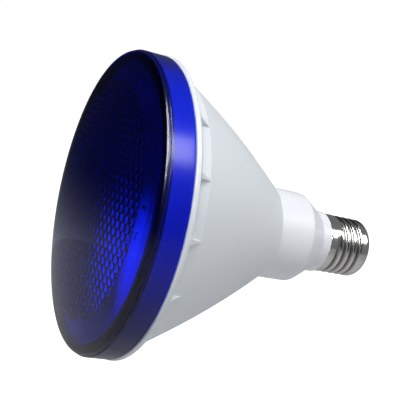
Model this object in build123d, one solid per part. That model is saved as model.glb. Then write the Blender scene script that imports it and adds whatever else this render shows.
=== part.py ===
"""Spotlight lamp of the PAR38 form with a blue lens cover and a medium screw cap.

The lamp's axis is Y: the lens looks along -Y and the cap points along +Y. The origin is on the axis, where
the screw shell's mouth meets the neck. Lengths are millimetres.
"""

from build123d import *
import math
import os

# Screw cap
THREAD_CREST_RADIUS = 13.2
THREAD_DEPTH = 1.1
THREAD_PITCH = 3.629
THREAD_TURNS = 4
SHELL_WALL = 0.35
SHELL_SKIRT_LENGTH = 5.3
NOSE_LENGTH = 3.0
NOSE_OPENING_RADIUS = 9.3
INSULATOR_RISE = 1.6
INSULATOR_TOP_RADIUS = 6.4
INSULATOR_FIT = 0.12
CONTACT_RADIUS = 4.8
CONTACT_THICKNESS = 1.3
CONTACT_STEM_RADIUS = 1.5
CONTACT_STEM_LENGTH = 8.0
CONTACT_FIT = 0.1

# Neck
NECK_RING_RADIUS = 13.8
NECK_RING_LENGTH = 4.1
NECK_SHOULDER_LENGTH = 9.4
NECK_BARREL_LENGTH = 16.9
NECK_BARREL_RADIUS = 19.9
NECK_EDGE_RADIUS = 2.4
NECK_WALL = 2.1
NECK_FLANGE_LEDGE = 3.1
NECK_FLANGE_THICKNESS = 2.2
NECK_SPIGOT_WALL = 1.7
NECK_SPIGOT_FIT = 0.15
NECK_BOSS_RADIUS = 2.4
NECK_BOSS_LENGTH = 11.0
NECK_BOSS_INSET = 2.0

# Housing
HOUSING_WALL = 2.0
CONE_LENGTH = 52.5
CONE_BULGE = 1.3
LIP_WALL = 1.1
LIP_DEPTH = 6.6
LIP_FIT = 0.2
LIP_EDGE_RADIUS = 0.6
COLLAR_LENGTH = 6.6
COLLAR_TAPER = 1.5
COLLAR_WALL = 3.2
FLANGE_RADIUS = 61.3
FLANGE_LEDGE = 5.0
FLANGE_THICKNESS = 2.2
FLANGE_EDGE_RADIUS = 0.6
SPIGOT_WALL = 2.2
RIB_COUNT = 16
RIB_WIDTH = 2.2
RIB_TIP_WIDTH = 0.5
RIB_HEIGHT = 3.6
RIB_ROOT_DEPTH = 1.2

# Lens cover
DOME_RADIUS = 225.0
LENS_WALL = 2.4
DIMPLE_FIELD_INSET = 13.5
DIMPLE_FIELD_STEP = 0.2
SEAT_WIDTH = 4.6
RIM_STEP = 0.45
RIM_WALL_LENGTH = 0.15
RIM_EDGE_RADIUS = 2.2
BAND_LENGTH = 9.6
BAND_INSET = 0.25
BAND_TAPER = 0.1
BAND_EDGE_RADIUS = 0.35
LENS_GAP = 0.3
LENS_FIT = 0.25
SEAL_THICKNESS = 1.8

# Light board, reflector and heat sink
SINK_FIT = 0.2
SINK_WALL = 1.5
SINK_RIM_INSET = 2.9
SINK_RIM_THICKNESS = 2.0
SINK_RIM_WIDTH = 9.4
SINK_FLOOR_THICKNESS = 2.0
SINK_WINDOW_ROOM = 1.4
SINK_WINDOW_WEB = 3.9
SINK_WINDOW_CORNER = 3.0
BOARD_INSET = 4.0
BOARD_THICKNESS = 1.6
BOARD_SCREW_INSET = 5.4
BOARD_SCREW_COUNT = 3
LED_WIDTH = 3.0
LED_HEIGHT = 0.65
LED_INNER_CIRCLE = 14.0
LED_OUTER_CIRCLE = 30.0
LED_CIRCLE_COUNT = 6
REFLECTOR_WALL = 1.2
REFLECTOR_RIM_THICKNESS = 1.2
REFLECTOR_RIM_FIT = 0.3
REFLECTOR_FOOT_INSET = 0.8
REFLECTOR_FIT = 0.25

# Screws
BOARD_SCREW_RADIUS = 1.4
BOARD_SCREW_LENGTH = 5.0
BOARD_SCREW_HEAD_RADIUS = 2.7
BOARD_SCREW_HEAD_HEIGHT = 1.8
NECK_SCREW_RADIUS = 1.1
NECK_SCREW_LENGTH = 9.0
NECK_SCREW_HEAD_RADIUS = 2.3
NECK_SCREW_HEAD_HEIGHT = 1.6
SCREW_THREAD_FIT = 0.05
SCREW_HOLE_FIT = 0.25
SCREW_TIP_ROOM = 1.0
RECESS_WIDTH = 0.6
RECESS_REACH = 1.4
RECESS_DEPTH = 0.8

# Driver board and its wires
DRIVER_SIDE_ROOM = 1.66
DRIVER_THICKNESS = 1.6
DRIVER_TOP = -4.2
DRIVER_REAR_ROOM = 2.0
DRIVER_MARGIN = 1.0
GUIDE_FIT = 0.15
GUIDE_THICKNESS = 1.5
GUIDE_OVERLAP = 0.9
LEAD_RADIUS = 0.6
LEAD_BEND_RADIUS = 2.2
LEAD_SPREAD = 3.6
LEAD_PAD_INSET = 2.0
LEAD_HOLE_FIT = 0.25
LEAD_PROUD = 1.0
LEAD_WALL_GAP = 0.1

# Driver components
PIN_RADIUS = 0.35
PIN_REACH = 1.8
PIN_BEND_RADIUS = 0.9
PART_GAP = 1.2
CAN_GROOVE_DEPTH = 0.5
CAN_GROOVE_WIDTH = 1.0
CAN_GROOVE_INSET = 2.0
OUTPUT_CAN_RADIUS = 4.0
OUTPUT_CAN_LENGTH = 11.0
BULK_CAN_RADIUS = 5.0
BULK_CAN_LENGTH = 16.0
CAN_OFFSET = -8.6
FUSE_RADIUS = 1.7
FUSE_LENGTH = 6.6
FUSE_LIFT = 0.5
COIL_OFFSET = 8.0
COIL_RADIUS = 4.5
COIL_HEIGHT = 10.0
COIL_FLANGE = 1.5
COIL_WINDING_DEPTH = 0.6
FILM_OFFSET = 7.5
FILM_WIDTH = 5.4
FILM_LENGTH = 10.0
FILM_HEIGHT = 9.0
FILM_EDGE_RADIUS = 0.6
BRIDGE_OFFSET = 9.0
BRIDGE_WIDTH = 4.0
BRIDGE_LENGTH = 4.7
BRIDGE_HEIGHT = 2.6
BRIDGE_LEGS = 2
CHIP_OFFSET = -0.5
CHIP_WIDTH = 3.9
CHIP_LENGTH = 4.9
CHIP_HEIGHT = 1.6
CHIP_LEGS = 4
LEG_WIDTH = 0.5
LEG_REACH = 0.6
LEG_THICKNESS = 0.25
STANDOFF = 0.15

# Radii that follow from the flange and the neck
COLLAR_FRONT_RADIUS = FLANGE_RADIUS - FLANGE_LEDGE
COLLAR_BORE_RADIUS = COLLAR_FRONT_RADIUS - COLLAR_WALL
CONE_FRONT_RADIUS = COLLAR_FRONT_RADIUS - COLLAR_TAPER
CONE_REAR_RADIUS = NECK_BARREL_RADIUS + LIP_WALL
BAND_REAR_RADIUS = FLANGE_RADIUS - BAND_INSET
BAND_FRONT_RADIUS = BAND_REAR_RADIUS - BAND_TAPER
RIM_RADIUS = BAND_FRONT_RADIUS - RIM_STEP
RIM_CENTRE_RADIUS = RIM_RADIUS - RIM_EDGE_RADIUS
SEAT_BORE_RADIUS = RIM_RADIUS - SEAT_WIDTH
DIMPLE_FIELD_RADIUS = RIM_RADIUS - DIMPLE_FIELD_INSET
BOARD_RADIUS = COLLAR_BORE_RADIUS - BOARD_INSET
BOARD_SCREW_CIRCLE = BOARD_RADIUS - BOARD_SCREW_INSET
SINK_RIM_BORE_RADIUS = BOARD_RADIUS - SINK_RIM_WIDTH
REFLECTOR_FOOT_RADIUS = BOARD_RADIUS - REFLECTOR_FOOT_INSET
NECK_FLANGE_RADIUS = NECK_BARREL_RADIUS + NECK_FLANGE_LEDGE
NECK_BORE_RADIUS = NECK_BARREL_RADIUS - NECK_WALL
NECK_BOSS_SPREAD = NECK_BORE_RADIUS - NECK_BOSS_INSET
SHELL_BORE_RADIUS = THREAD_CREST_RADIUS - THREAD_DEPTH - SHELL_WALL
NECK_SPIGOT_RADIUS = SHELL_BORE_RADIUS - NECK_SPIGOT_FIT
NECK_SPIGOT_BORE = NECK_SPIGOT_RADIUS - NECK_SPIGOT_WALL
DRIVER_BOTTOM = DRIVER_TOP - DRIVER_THICKNESS
DRIVER_WIDTH = 2 * (math.sqrt(NECK_BORE_RADIUS**2 - DRIVER_BOTTOM**2) - DRIVER_SIDE_ROOM)

# Places along the axis
NOSE_START = SHELL_SKIRT_LENGTH + THREAD_TURNS * THREAD_PITCH
NOSE_END = NOSE_START + NOSE_LENGTH
INSULATOR_TOP = NOSE_END + INSULATOR_RISE
LAST_GROOVE = NOSE_START - THREAD_PITCH / 2
WIRED_GROOVE = LAST_GROOVE - THREAD_PITCH
NECK_SPIGOT_END = WIRED_GROOVE - LEAD_RADIUS - LEAD_WALL_GAP
RING_START = -NECK_RING_LENGTH
SHOULDER_START = RING_START - NECK_SHOULDER_LENGTH
CONE_REAR = SHOULDER_START - NECK_BARREL_LENGTH
LIP_SEAT = CONE_REAR - LIP_DEPTH
NECK_FRONT = LIP_SEAT - NECK_FLANGE_THICKNESS
COLLAR_REAR = CONE_REAR - CONE_LENGTH
FLANGE_BACK = COLLAR_REAR - COLLAR_LENGTH
FLANGE_FRONT = FLANGE_BACK - FLANGE_THICKNESS
BAND_REAR = FLANGE_FRONT - LENS_GAP
BAND_FRONT = FLANGE_FRONT - BAND_LENGTH
RIM_CENTRE = BAND_FRONT - RIM_WALL_LENGTH
DOME_CENTRE = RIM_CENTRE + math.sqrt((DOME_RADIUS - RIM_EDGE_RADIUS) ** 2 - RIM_CENTRE_RADIUS**2)
DOME_EDGE_ANGLE = math.asin(RIM_CENTRE_RADIUS / (DOME_RADIUS - RIM_EDGE_RADIUS))
SPIGOT_FRONT = BAND_FRONT + SEAL_THICKNESS
SINK_FRONT = COLLAR_REAR + SINK_RIM_INSET
BOARD_FRONT = SINK_FRONT - BOARD_THICKNESS
SINK_FLOOR_FRONT = NECK_FRONT - SINK_FLOOR_THICKNESS
DRIVER_REAR = SHOULDER_START - DRIVER_REAR_ROOM
LEAD_PAD_REAR = DRIVER_REAR - LEAD_PAD_INSET
FUSE_PLACE = LEAD_PAD_REAR - LEAD_RADIUS - PART_GAP - FUSE_RADIUS
BULK_REAR = FUSE_PLACE - FUSE_RADIUS - PART_GAP - PIN_REACH
BULK_FRONT = BULK_REAR - BULK_CAN_LENGTH
OUTPUT_REAR = BULK_FRONT - PART_GAP - PIN_REACH
OUTPUT_FRONT = OUTPUT_REAR - OUTPUT_CAN_LENGTH
DRIVER_FRONT = OUTPUT_FRONT - DRIVER_MARGIN
COIL_PLACE = DRIVER_FRONT + DRIVER_MARGIN + COIL_RADIUS
FILM_FRONT = COIL_PLACE + COIL_RADIUS + PART_GAP
BRIDGE_PLACE = FILM_FRONT + FILM_LENGTH + PART_GAP + BRIDGE_LENGTH / 2
CHIP_PLACE = OUTPUT_REAR - CHIP_LENGTH / 2

# The thread's profile is made of equal arcs that meet at half its depth
THREAD_ROUND = THREAD_PITCH**2 / (16 * THREAD_DEPTH) + THREAD_DEPTH / 4
FLANK_ANGLE = math.asin(THREAD_PITCH / (4 * THREAD_ROUND))

# The cone's side is one arc, given by its chord and its bulge
CHORD_RADIAL = CONE_FRONT_RADIUS - CONE_REAR_RADIUS
CHORD = math.hypot(CHORD_RADIAL, CONE_LENGTH)
ARC_RADIUS = CHORD**2 / (8 * CONE_BULGE) + CONE_BULGE / 2
ARC_SETBACK = ARC_RADIUS - CONE_BULGE
ARC_CENTRE_RADIAL = (CONE_FRONT_RADIUS + CONE_REAR_RADIUS) / 2 - ARC_SETBACK * CONE_LENGTH / CHORD
ARC_CENTRE_AXIAL = (COLLAR_REAR + CONE_REAR) / 2 - ARC_SETBACK * CHORD_RADIAL / CHORD


def cone_radius(y, inset):
    """Radius at height y of the cone's side, set in by inset along its normal."""
    return ARC_CENTRE_RADIAL + math.sqrt((ARC_RADIUS - inset) ** 2 - (y - ARC_CENTRE_AXIAL) ** 2)


def cone_height(radius, inset):
    """Height at which the cone's side, set in by inset, has this radius."""
    return ARC_CENTRE_AXIAL + math.sqrt((ARC_RADIUS - inset) ** 2 - (radius - ARC_CENTRE_RADIAL) ** 2)


def cone_arc(y_start, y_end, inset):
    """Arc of the cone's side between two heights."""
    heights = (y_start, (y_start + y_end) / 2, y_end)
    return ThreePointArc(*[(cone_radius(y, inset), y) for y in heights])


def dome_height(radius, inset):
    """Height of the dome at this radius, set in by inset."""
    return DOME_CENTRE - math.sqrt((DOME_RADIUS - inset) ** 2 - radius**2)


def dome_arc(r_start, r_end, inset):
    """Arc of the dome between two radii."""
    radii = (r_start, (r_start + r_end) / 2, r_end)
    return ThreePointArc(*[(r, dome_height(r, inset)) for r in radii])


def skirt_bore(y):
    """Inner radius of the lens skirt, whose wall follows the tapered band."""
    slope = (BAND_REAR_RADIUS - BAND_FRONT_RADIUS) / (BAND_REAR - BAND_FRONT)
    return BAND_FRONT_RADIUS - LENS_WALL + slope * (y - BAND_FRONT)


def spigot_radius(y):
    """Outer radius of the housing's spigot inside the lens skirt."""
    return skirt_bore(y) - LENS_FIT


def rounded(face, *corners):
    """Rounds the corners of a profile, each given as a point and a radius."""
    for point, radius in corners:
        face = fillet(face.vertices().sort_by_distance(point)[0], radius)
    return face


def turned(face):
    """Solid of revolution about the lamp's axis."""
    return revolve(face, Axis.Y)


def along_axis(x, y, z):
    """Plane at a point whose normal runs along the lamp's axis, towards the cap."""
    return Plane(origin=(x, y, z), x_dir=(1, 0, 0), z_dir=(0, 1, 0))


def rod(x, z, y_start, y_end, radius):
    """Cylinder parallel to the lamp's axis."""
    return extrude(along_axis(x, y_start, z) * Circle(radius), y_end - y_start)


def block(x_range, y_range, z_range):
    """Box between three pairs of limits."""
    spans = [high - low for low, high in (x_range, y_range, z_range)]
    middle = [(low + high) / 2 for low, high in (x_range, y_range, z_range)]
    return Pos(*middle) * Box(*spans)


def on_circle(radius, count, start=0.0):
    """Points (x, z) evenly spaced on a circle round the axis."""
    angles = [math.radians(start + 360.0 * i / count) for i in range(count)]
    return [(radius * math.cos(a), radius * math.sin(a)) for a in angles]


def board_screw_places():
    return on_circle(BOARD_SCREW_CIRCLE, BOARD_SCREW_COUNT, 90.0)


def neck_screw_places():
    return [(0.0, NECK_BOSS_SPREAD), (0.0, -NECK_BOSS_SPREAD)]


def lead_places():
    return [(LEAD_SPREAD, 0.0), (-LEAD_SPREAD, 0.0)]


def rim_arc():
    """Round rim of the lens, which leaves the dome along its slope and ends on the rim's side."""
    angles = (DOME_EDGE_ANGLE, (DOME_EDGE_ANGLE + math.pi / 2) / 2, math.pi / 2)
    points = [(math.sin(a) * RIM_EDGE_RADIUS, -math.cos(a) * RIM_EDGE_RADIUS) for a in angles]
    return ThreePointArc(*[(RIM_CENTRE_RADIUS + x, RIM_CENTRE + y) for x, y in points])


def lens_cover():
    """Domed plate with a round rim, and a skirt round the housing's spigot that stands a step outside the rim."""
    plate = make_face(
        [
            dome_arc(0.0, DOME_RADIUS * math.sin(DOME_EDGE_ANGLE), 0.0),
            rim_arc(),
            Polyline(
                (RIM_RADIUS, RIM_CENTRE),
                (RIM_RADIUS, BAND_FRONT),
                (SEAT_BORE_RADIUS, BAND_FRONT),
                (SEAT_BORE_RADIUS, dome_height(SEAT_BORE_RADIUS, LENS_WALL)),
            ),
            dome_arc(SEAT_BORE_RADIUS, DIMPLE_FIELD_RADIUS, LENS_WALL),
            Line(
                (DIMPLE_FIELD_RADIUS, dome_height(DIMPLE_FIELD_RADIUS, LENS_WALL)),
                (DIMPLE_FIELD_RADIUS, dome_height(DIMPLE_FIELD_RADIUS, LENS_WALL - DIMPLE_FIELD_STEP)),
            ),
            dome_arc(DIMPLE_FIELD_RADIUS, 0.0, LENS_WALL - DIMPLE_FIELD_STEP),
            Line((0.0, dome_height(0.0, LENS_WALL - DIMPLE_FIELD_STEP)), (0.0, dome_height(0.0, 0.0))),
        ]
    )
    skirt_front = (BAND_FRONT_RADIUS, BAND_FRONT)
    skirt_rear = (BAND_REAR_RADIUS, BAND_REAR)
    skirt = Polygon(
        skirt_front,
        skirt_rear,
        (skirt_bore(BAND_REAR), BAND_REAR),
        (skirt_bore(BAND_FRONT), BAND_FRONT),
        align=None,
    )
    skirt = rounded(skirt, (skirt_front, BAND_EDGE_RADIUS), (skirt_rear, BAND_EDGE_RADIUS))
    return turned(plate + skirt)


def seal_ring():
    """Flat ring on the spigot's front edge, under the lens."""
    back = spigot_radius(SPIGOT_FRONT)
    front = spigot_radius(BAND_FRONT)
    return turned(
        Polygon(
            (back - SPIGOT_WALL, SPIGOT_FRONT),
            (back, SPIGOT_FRONT),
            (front, BAND_FRONT),
            (front - SPIGOT_WALL, BAND_FRONT),
            align=None,
        )
    )


def gusset_rib():
    """Wedge that stands between the flange and the collar and dies out at the collar's rear edge."""
    root = COLLAR_FRONT_RADIUS - RIB_ROOT_DEPTH
    base = Pos(root, 0) * Rectangle(RIB_HEIGHT + RIB_ROOT_DEPTH, RIB_WIDTH, align=(Align.MIN, Align.CENTER))
    tip_root = CONE_FRONT_RADIUS - RIB_ROOT_DEPTH
    tip = Pos(tip_root, 0) * Rectangle(RIB_ROOT_DEPTH, RIB_TIP_WIDTH, align=(Align.MIN, Align.CENTER))
    return loft([along_axis(0, FLANGE_BACK, 0) * base, along_axis(0, COLLAR_REAR, 0) * tip])


def housing():
    """Conical shell with its rear lip, collar, flange, gusset ribs and the spigot that carries the lens."""
    collar_bore_rear = cone_height(COLLAR_BORE_RADIUS, HOUSING_WALL)
    lip_bore = NECK_BARREL_RADIUS + LIP_FIT
    lip_corner = (CONE_REAR_RADIUS, CONE_REAR)
    flange_front = (FLANGE_RADIUS, FLANGE_FRONT)
    flange_back = (FLANGE_RADIUS, FLANGE_BACK)
    section = make_face(
        [
            Polyline(
                (COLLAR_BORE_RADIUS, collar_bore_rear),
                (COLLAR_BORE_RADIUS, FLANGE_FRONT),
                (spigot_radius(FLANGE_FRONT) - SPIGOT_WALL, FLANGE_FRONT),
                (spigot_radius(SPIGOT_FRONT) - SPIGOT_WALL, SPIGOT_FRONT),
                (spigot_radius(SPIGOT_FRONT), SPIGOT_FRONT),
                (spigot_radius(FLANGE_FRONT), FLANGE_FRONT),
                flange_front,
                flange_back,
                (COLLAR_FRONT_RADIUS, FLANGE_BACK),
                (CONE_FRONT_RADIUS, COLLAR_REAR),
            ),
            cone_arc(COLLAR_REAR, CONE_REAR, 0.0),
            Polyline(
                lip_corner,
                (lip_bore, CONE_REAR),
                (lip_bore, LIP_SEAT),
                (cone_radius(LIP_SEAT, HOUSING_WALL), LIP_SEAT),
            ),
            cone_arc(LIP_SEAT, collar_bore_rear, HOUSING_WALL),
        ]
    )
    section = rounded(
        section,
        (flange_front, FLANGE_EDGE_RADIUS),
        (flange_back, FLANGE_EDGE_RADIUS),
        (lip_corner, LIP_EDGE_RADIUS),
    )
    rib = gusset_rib()
    ribs = [Rot(0, 360.0 * i / RIB_COUNT, 0) * rib for i in range(RIB_COUNT)]
    return turned(section) + ribs


def reflector():
    """Ring whose rim lies on the ledge behind the spigot and whose foot stands on the light board."""
    throat = COLLAR_BORE_RADIUS - REFLECTOR_FIT
    rim_front = FLANGE_FRONT - REFLECTOR_RIM_THICKNESS
    rim = spigot_radius(rim_front) - SPIGOT_WALL - REFLECTOR_RIM_FIT
    return turned(
        Polygon(
            (REFLECTOR_FOOT_RADIUS, BOARD_FRONT),
            (throat, FLANGE_FRONT),
            (rim, FLANGE_FRONT),
            (rim, rim_front),
            (throat - REFLECTOR_WALL, rim_front),
            (REFLECTOR_FOOT_RADIUS - REFLECTOR_WALL, BOARD_FRONT),
            align=None,
        )
    )


def heat_sink():
    """Cup that nests in the cone, with a rim for the light board and a floor on the neck's flange."""
    outer = HOUSING_WALL + SINK_FIT
    inner = outer + SINK_WALL
    rim_back = SINK_FRONT + SINK_RIM_THICKNESS
    section = make_face(
        [
            cone_arc(SINK_FRONT, NECK_FRONT, outer),
            Polyline(
                (cone_radius(NECK_FRONT, outer), NECK_FRONT),
                (0.0, NECK_FRONT),
                (0.0, SINK_FLOOR_FRONT),
                (cone_radius(SINK_FLOOR_FRONT, inner), SINK_FLOOR_FRONT),
            ),
            cone_arc(SINK_FLOOR_FRONT, rim_back, inner),
            Polyline(
                (cone_radius(rim_back, inner), rim_back),
                (SINK_RIM_BORE_RADIUS, rim_back),
                (SINK_RIM_BORE_RADIUS, SINK_FRONT),
                (cone_radius(SINK_FRONT, outer), SINK_FRONT),
            ),
        ]
    )
    window_width = DRIVER_WIDTH + 2 * SINK_WINDOW_ROOM
    window_height = 2 * (NECK_BOSS_SPREAD - SINK_WINDOW_WEB)
    window = RectangleRounded(window_width, window_height, SINK_WINDOW_CORNER)
    cup = turned(section) - extrude(along_axis(0, SINK_FLOOR_FRONT, 0) * window, SINK_FLOOR_THICKNESS)
    for x, z in board_screw_places():
        cup -= rod(x, z, SINK_FRONT, rim_back, BOARD_SCREW_RADIUS + SCREW_THREAD_FIT)
    for x, z in neck_screw_places():
        cup -= rod(x, z, SINK_FLOOR_FRONT, NECK_FRONT, NECK_SCREW_RADIUS + SCREW_HOLE_FIT)
    return cup


def led_board():
    """Round aluminium-core board with holes for its screws and the two leads."""
    board = rod(0, 0, BOARD_FRONT, SINK_FRONT, BOARD_RADIUS)
    for x, z in board_screw_places():
        board -= rod(x, z, BOARD_FRONT, SINK_FRONT, BOARD_SCREW_RADIUS + SCREW_HOLE_FIT)
    for x, z in lead_places():
        board -= rod(x, z, BOARD_FRONT, SINK_FRONT, LEAD_RADIUS + LEAD_HOLE_FIT)
    return board


def led_packages():
    """Square light sources in rings on the front of the board."""
    half = LED_WIDTH / 2
    packages = []
    for radius in (LED_INNER_CIRCLE, LED_OUTER_CIRCLE):
        for x, z in on_circle(radius, LED_CIRCLE_COUNT):
            limits = ((x - half, x + half), (BOARD_FRONT - LED_HEIGHT, BOARD_FRONT), (z - half, z + half))
            packages.append(block(*limits))
    return Compound(children=packages)


def pan_screw(x, z, seat, radius, length, head_radius, head_height):
    """Screw whose head stands on seat, facing the lens, with a cross recess."""
    head_top = seat - head_height
    screw = rod(x, z, head_top, seat, head_radius) + rod(x, z, seat, seat + length, radius)
    short_half = RECESS_WIDTH / 2
    depth = (head_top, head_top + RECESS_DEPTH)
    screw -= block((x - RECESS_REACH, x + RECESS_REACH), depth, (z - short_half, z + short_half))
    screw -= block((x - short_half, x + short_half), depth, (z - RECESS_REACH, z + RECESS_REACH))
    return screw


def board_screws():
    sizes = (BOARD_SCREW_RADIUS, BOARD_SCREW_LENGTH, BOARD_SCREW_HEAD_RADIUS, BOARD_SCREW_HEAD_HEIGHT)
    return Compound(children=[pan_screw(x, z, BOARD_FRONT, *sizes) for x, z in board_screw_places()])


def neck_screws():
    sizes = (NECK_SCREW_RADIUS, NECK_SCREW_LENGTH, NECK_SCREW_HEAD_RADIUS, NECK_SCREW_HEAD_HEIGHT)
    return Compound(children=[pan_screw(x, z, SINK_FLOOR_FRONT, *sizes) for x, z in neck_screw_places()])


def neck():
    """Barrel with an inner flange, a shoulder, a ring and a hollow spigot inside the screw shell."""
    barrel_edge = (NECK_BARREL_RADIUS, SHOULDER_START)
    section = Polygon(
        (NECK_FLANGE_RADIUS, NECK_FRONT),
        (NECK_FLANGE_RADIUS, LIP_SEAT),
        (NECK_BARREL_RADIUS, LIP_SEAT),
        barrel_edge,
        (NECK_RING_RADIUS, RING_START),
        (NECK_RING_RADIUS, 0.0),
        (NECK_SPIGOT_RADIUS, 0.0),
        (NECK_SPIGOT_RADIUS, NECK_SPIGOT_END),
        (NECK_SPIGOT_BORE, NECK_SPIGOT_END),
        (NECK_SPIGOT_BORE, RING_START),
        (NECK_BORE_RADIUS, SHOULDER_START),
        (NECK_BORE_RADIUS, NECK_FRONT),
        align=None,
    )
    body = turned(rounded(section, (barrel_edge, NECK_EDGE_RADIUS)))
    bosses = [
        rod(x, z, NECK_FRONT, NECK_FRONT + NECK_BOSS_LENGTH, NECK_BOSS_RADIUS) for x, z in neck_screw_places()
    ]
    guide_length = (NECK_FRONT, DRIVER_REAR)
    wall_middle = NECK_BORE_RADIUS + NECK_WALL / 2
    guides = []
    for z_low in (DRIVER_TOP + GUIDE_FIT, DRIVER_BOTTOM - GUIDE_FIT - GUIDE_THICKNESS):
        z_range = (z_low, z_low + GUIDE_THICKNESS)
        reach = math.sqrt(wall_middle**2 - max(abs(z) for z in z_range) ** 2)
        edge = DRIVER_WIDTH / 2 - GUIDE_OVERLAP
        guides.append(block((edge, reach), guide_length, z_range))
        guides.append(block((-reach, -edge), guide_length, z_range))
    body = body + bosses + guides
    for x, z in neck_screw_places():
        depth = NECK_SCREW_LENGTH - SINK_FLOOR_THICKNESS + SCREW_TIP_ROOM
        body -= rod(x, z, NECK_FRONT, NECK_FRONT + depth, NECK_SCREW_RADIUS + SCREW_THREAD_FIT)
    return body


def crest_arc(y, start, end, inset):
    """Arc of a thread crest between two angles from its top, set in by inset."""
    reach = THREAD_ROUND - inset
    middle = THREAD_CREST_RADIUS - THREAD_ROUND
    angles = (start, (start + end) / 2, end)
    return ThreePointArc(*[(middle + reach * math.cos(a), y + reach * math.sin(a)) for a in angles])


def groove_arc(y, start, end, inset):
    """Arc of a thread groove between two angles from its bottom, set in by inset."""
    reach = THREAD_ROUND + inset
    middle = THREAD_CREST_RADIUS - THREAD_DEPTH + THREAD_ROUND
    angles = (start, (start + end) / 2, end)
    return ThreePointArc(*[(middle - reach * math.cos(a), y + reach * math.sin(a)) for a in angles])


def nose_arc(inset):
    """Arc of the shell's nose from the last crest to the opening, set in by inset."""
    crest = (THREAD_CREST_RADIUS - inset, NOSE_START)
    opening = (NOSE_OPENING_RADIUS, NOSE_END - inset)
    return TangentArc(crest, opening, tangent=(0, 1))


def shell_side(inset):
    """Side of the screw shell from its mouth to its opening, set in by inset."""
    side = THREAD_CREST_RADIUS - inset
    edges = [Line((side, 0.0), (side, SHELL_SKIRT_LENGTH))]
    for turn in range(THREAD_TURNS):
        crest = SHELL_SKIRT_LENGTH + turn * THREAD_PITCH
        edges.append(crest_arc(crest, 0.0, FLANK_ANGLE, inset))
        edges.append(groove_arc(crest + THREAD_PITCH / 2, -FLANK_ANGLE, FLANK_ANGLE, inset))
        edges.append(crest_arc(crest + THREAD_PITCH, -FLANK_ANGLE, 0.0, inset))
    edges.append(nose_arc(inset))
    return edges


def screw_shell():
    """Thin shell: a plain skirt, round thread turns as rings, and a nose rolled in over the insulator."""
    mouth = Line((THREAD_CREST_RADIUS, 0.0), (THREAD_CREST_RADIUS - SHELL_WALL, 0.0))
    opening = Line((NOSE_OPENING_RADIUS, NOSE_END), (NOSE_OPENING_RADIUS, NOSE_END - SHELL_WALL))
    return turned(make_face(shell_side(0.0) + [opening] + shell_side(SHELL_WALL) + [mouth]))


def cap_insulator():
    """Button moulded into the shell's nose, from its last groove on, which carries the centre contact."""
    hole = CONTACT_STEM_RADIUS + CONTACT_FIT
    inset = SHELL_WALL + INSULATOR_FIT
    root = SHELL_BORE_RADIUS - INSULATOR_FIT
    mouth = NOSE_OPENING_RADIUS - INSULATOR_FIT
    side = [
        groove_arc(LAST_GROOVE, 0.0, FLANK_ANGLE, inset),
        crest_arc(NOSE_START, -FLANK_ANGLE, 0.0, inset),
        nose_arc(inset),
    ]
    button = Polyline(
        (NOSE_OPENING_RADIUS, NOSE_END - inset),
        (mouth, NOSE_END - inset),
        (mouth, NOSE_END),
        (INSULATOR_TOP_RADIUS, INSULATOR_TOP),
        (hole, INSULATOR_TOP),
        (hole, LAST_GROOVE),
        (root, LAST_GROOVE),
    )
    return turned(make_face(side + [button]))


def centre_contact():
    """Contact with a spherical crown, and a stem through the insulator."""
    top = INSULATOR_TOP + CONTACT_THICKNESS
    crown_radius = (CONTACT_RADIUS**2 + CONTACT_THICKNESS**2) / (2 * CONTACT_THICKNESS)
    half = CONTACT_RADIUS / 2
    brow = top - crown_radius + math.sqrt(crown_radius**2 - half**2)
    stem_end = INSULATOR_TOP - CONTACT_STEM_LENGTH
    return turned(
        make_face(
            [
                Polyline(
                    (0.0, top),
                    (0.0, stem_end),
                    (CONTACT_STEM_RADIUS, stem_end),
                    (CONTACT_STEM_RADIUS, INSULATOR_TOP),
                    (CONTACT_RADIUS, INSULATOR_TOP),
                ),
                ThreePointArc((CONTACT_RADIUS, INSULATOR_TOP), (half, brow), (0.0, top)),
            ]
        )
    )


def driver_board():
    half = DRIVER_WIDTH / 2
    return block((-half, half), (DRIVER_FRONT, DRIVER_REAR), (DRIVER_BOTTOM, DRIVER_TOP))


def lead_along(route, radius):
    """Round wire along a route."""
    return sweep(Plane(origin=route @ 0, z_dir=route % 0) * Circle(radius), path=route)


def lying_can(front, length, radius):
    """Electrolytic can on its side, with a groove near its sealed end and two pins bent to the board."""
    axis_height = DRIVER_TOP + radius
    rear = front + length
    groove = rear - CAN_GROOVE_INSET
    can = rod(CAN_OFFSET, axis_height, front, rear, radius)
    can -= rod(CAN_OFFSET, axis_height, groove - CAN_GROOVE_WIDTH, groove, radius)
    can += rod(CAN_OFFSET, axis_height, groove - CAN_GROOVE_WIDTH, groove, radius - CAN_GROOVE_DEPTH)
    for x in (CAN_OFFSET - radius / 2, CAN_OFFSET + radius / 2):
        route = FilletPolyline(
            (x, rear, axis_height),
            (x, rear + PIN_REACH - PIN_RADIUS, axis_height),
            (x, rear + PIN_REACH - PIN_RADIUS, DRIVER_TOP),
            radius=PIN_BEND_RADIUS,
        )
        can += lead_along(route, PIN_RADIUS)
    return can


def bulk_capacitor():
    return lying_can(BULK_FRONT, BULK_CAN_LENGTH, BULK_CAN_RADIUS)


def output_capacitor():
    return lying_can(OUTPUT_FRONT, OUTPUT_CAN_LENGTH, OUTPUT_CAN_RADIUS)


def input_capacitor():
    """Box film capacitor that stands on the board."""
    half = FILM_WIDTH / 2
    box = block(
        (FILM_OFFSET - half, FILM_OFFSET + half),
        (FILM_FRONT, FILM_FRONT + FILM_LENGTH),
        (DRIVER_TOP, DRIVER_TOP + FILM_HEIGHT),
    )
    return fillet(box.edges().filter_by(Axis.Z), FILM_EDGE_RADIUS)


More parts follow.
